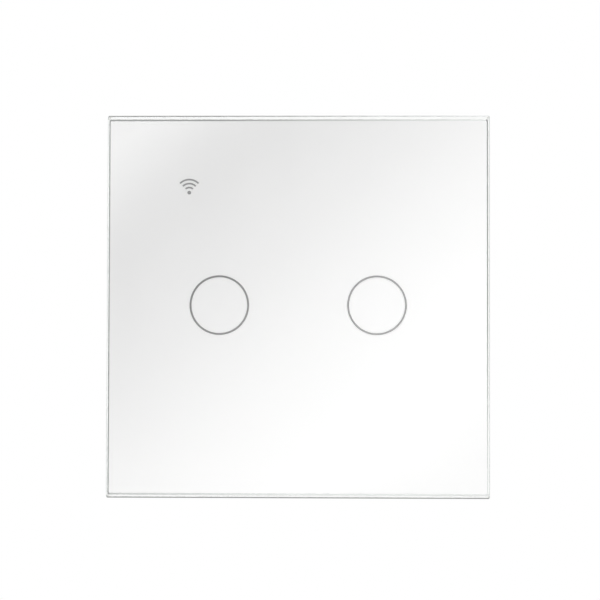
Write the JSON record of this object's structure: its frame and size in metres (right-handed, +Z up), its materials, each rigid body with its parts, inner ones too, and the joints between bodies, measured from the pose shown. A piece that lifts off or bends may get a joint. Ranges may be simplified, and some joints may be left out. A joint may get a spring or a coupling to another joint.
{
  "type": "touch light switch",
  "caption": "Square glass touch switch for a wall box, with ring-shaped touch keys, a clip-on panel, a steel yoke and a rear housing with screw terminals and relays.",
  "frame": {"origin": "midway between the two wall-screw slots, on the face of the yoke that rests on the wall", "axes": "+X to the right and +Z up as the user sees the glass, +Y into the wall"},
  "size_m": [0.086, 0.0346, 0.086],
  "materials": {
    "clear_glass": "polished",
    "white_ink": "smooth ink seen through glass",
    "grey_ink": "see-through ink",
    "tape_foam": "matt",
    "white_plastic": "fine texture",
    "grey_white_plastic": "fine texture",
    "zinc_plated_steel": "zinc plated",
    "circuit_board": "solder mask",
    "radio_circuit_board": "solder mask",
    "spring_wire": "drawn",
    "black_foam": "matt foam",
    "lamp_resin": "clear resin on a white base",
    "black_resin": "moulded",
    "shield_steel": "tinned",
    "black_plastic": "moulded",
    "green_plastic": "moulded",
    "ferrite": "ground",
    "yellow_tape": "wrapped film",
    "capacitor_sleeve": "shrunk film",
    "blue_resin": "dipped",
    "resistor_coat": "cement coat",
    "tinned_brass": "tinned",
    "cage_steel": "nickel plated",
    "screw_steel": "zinc plated",
    "relay_plastic": "moulded",
    "copper_wire": "enamelled",
    "soft_iron": "nickel plated"
  },
  "bodies": {
    "wall_unit": {"mounting_yoke": "zinc_plated_steel", "base_frame": "white_plastic", "rear_housing": "grey_white_plastic", "touch_board": "circuit_board", "touch_spring_left": "spring_wire", "touch_spring_right": "spring_wire", "light_shield_left": "black_foam", "light_shield_right": "black_foam", "touch_led_left": "lamp_resin", "touch_led_right": "lamp_resin", "status_led": "lamp_resin", "touch_controller": "black_resin", "radio_board": "radio_circuit_board", "radio_shield": "shield_steel", "board_header": "black_plastic", "header_socket": "black_plastic", "power_board": "circuit_board", "terminal_block": "green_plastic", "transformer_core": "ferrite", "transformer_bobbin": "black_plastic", "transformer_winding": "yellow_tape", "filter_capacitor": "capacitor_sleeve", "output_capacitor": "capacitor_sleeve", "surge_varistor": "blue_resin", "fuse_resistor": "resistor_coat", "rectifier": "black_resin", "housing_screws": "screw_steel", "board_screws": "screw_steel", "contact_bar_1": "tinned_brass", "contact_bar_2": "tinned_brass", "contact_bar_3": "tinned_brass", "contact_bar_4": "tinned_brass", "relay_left_case": "relay_plastic", "relay_left_base": "black_plastic", "relay_left_coil": "copper_wire", "relay_left_magnet": "soft_iron", "relay_left_contact": "tinned_brass", "relay_right_case": "relay_plastic", "relay_right_base": "black_plastic", "relay_right_coil": "copper_wire", "relay_right_magnet": "soft_iron", "relay_right_contact": "tinned_brass"},
    "front_panel": {"glass_plate": "clear_glass", "white_print": "white_ink", "touch_ring_left": "grey_ink", "touch_ring_right": "grey_ink", "adhesive_tape": "tape_foam", "panel_frame": "white_plastic"},
    "clamp_cage_1": {"clamp_cage_1": "cage_steel"},
    "terminal_screw_1": {"terminal_screw_1": "screw_steel"},
    "clamp_cage_2": {"clamp_cage_2": "cage_steel"},
    "terminal_screw_2": {"terminal_screw_2": "screw_steel"},
    "clamp_cage_3": {"clamp_cage_3": "cage_steel"},
    "terminal_screw_3": {"terminal_screw_3": "screw_steel"},
    "clamp_cage_4": {"clamp_cage_4": "cage_steel"},
    "terminal_screw_4": {"terminal_screw_4": "screw_steel"},
    "relay_left_armature": {"relay_left_armature": "soft_iron"},
    "relay_right_armature": {"relay_right_armature": "soft_iron"}
  },
  "joints": [
    {"name": "panel_pull", "type": "slide", "parent": "wall_unit", "child": "front_panel", "axis": [0, -1, 0], "range_m": [0, 0.03]},
    {"name": "screw_1_turn", "type": "hinge", "parent": "wall_unit", "child": "terminal_screw_1", "pos_m": [-0.0096, 0.0162, -0.01905], "axis": [0, -1, 0], "range_deg": [0, 1800]},
    {"name": "cage_1_rise", "type": "slide", "parent": "wall_unit", "child": "clamp_cage_1", "axis": [0, 1, 0], "range_m": [0, 0.0025]},
    {"name": "screw_2_turn", "type": "hinge", "parent": "wall_unit", "child": "terminal_screw_2", "pos_m": [-0.0032, 0.0162, -0.01905], "axis": [0, -1, 0], "range_deg": [0, 1800]},
    {"name": "cage_2_rise", "type": "slide", "parent": "wall_unit", "child": "clamp_cage_2", "axis": [0, 1, 0], "range_m": [0, 0.0025]},
    {"name": "screw_3_turn", "type": "hinge", "parent": "wall_unit", "child": "terminal_screw_3", "pos_m": [0.0032, 0.0162, -0.01905], "axis": [0, -1, 0], "range_deg": [0, 1800]},
    {"name": "cage_3_rise", "type": "slide", "parent": "wall_unit", "child": "clamp_cage_3", "axis": [0, 1, 0], "range_m": [0, 0.0025]},
    {"name": "screw_4_turn", "type": "hinge", "parent": "wall_unit", "child": "terminal_screw_4", "pos_m": [0.0096, 0.0162, -0.01905], "axis": [0, -1, 0], "range_deg": [0, 1800]},
    {"name": "cage_4_rise", "type": "slide", "parent": "wall_unit", "child": "clamp_cage_4", "axis": [0, 1, 0], "range_m": [0, 0.0025]},
    {"name": "relay_left_pull_in", "type": "hinge", "parent": "wall_unit", "child": "relay_left_armature", "pos_m": [-0.009, 0.0172, -0.0065], "axis": [1, 0, 0], "range_deg": [0, 2.9], "stiffness_Nm_per_rad": 0.02, "springref_deg": -5.73},
    {"name": "relay_right_pull_in", "type": "hinge", "parent": "wall_unit", "child": "relay_right_armature", "pos_m": [0.009, 0.0172, -0.0065], "axis": [1, 0, 0], "range_deg": [0, 2.9], "stiffness_Nm_per_rad": 0.02, "springref_deg": -5.73}
  ],
  "couplings": [
    {"joint": "screw_1_turn", "follows": "cage_1_rise", "rad_per_m": 12566},
    {"joint": "screw_2_turn", "follows": "cage_2_rise", "rad_per_m": 12566},
    {"joint": "screw_3_turn", "follows": "cage_3_rise", "rad_per_m": 12566},
    {"joint": "screw_4_turn", "follows": "cage_4_rise", "rad_per_m": 12566}
  ]
}
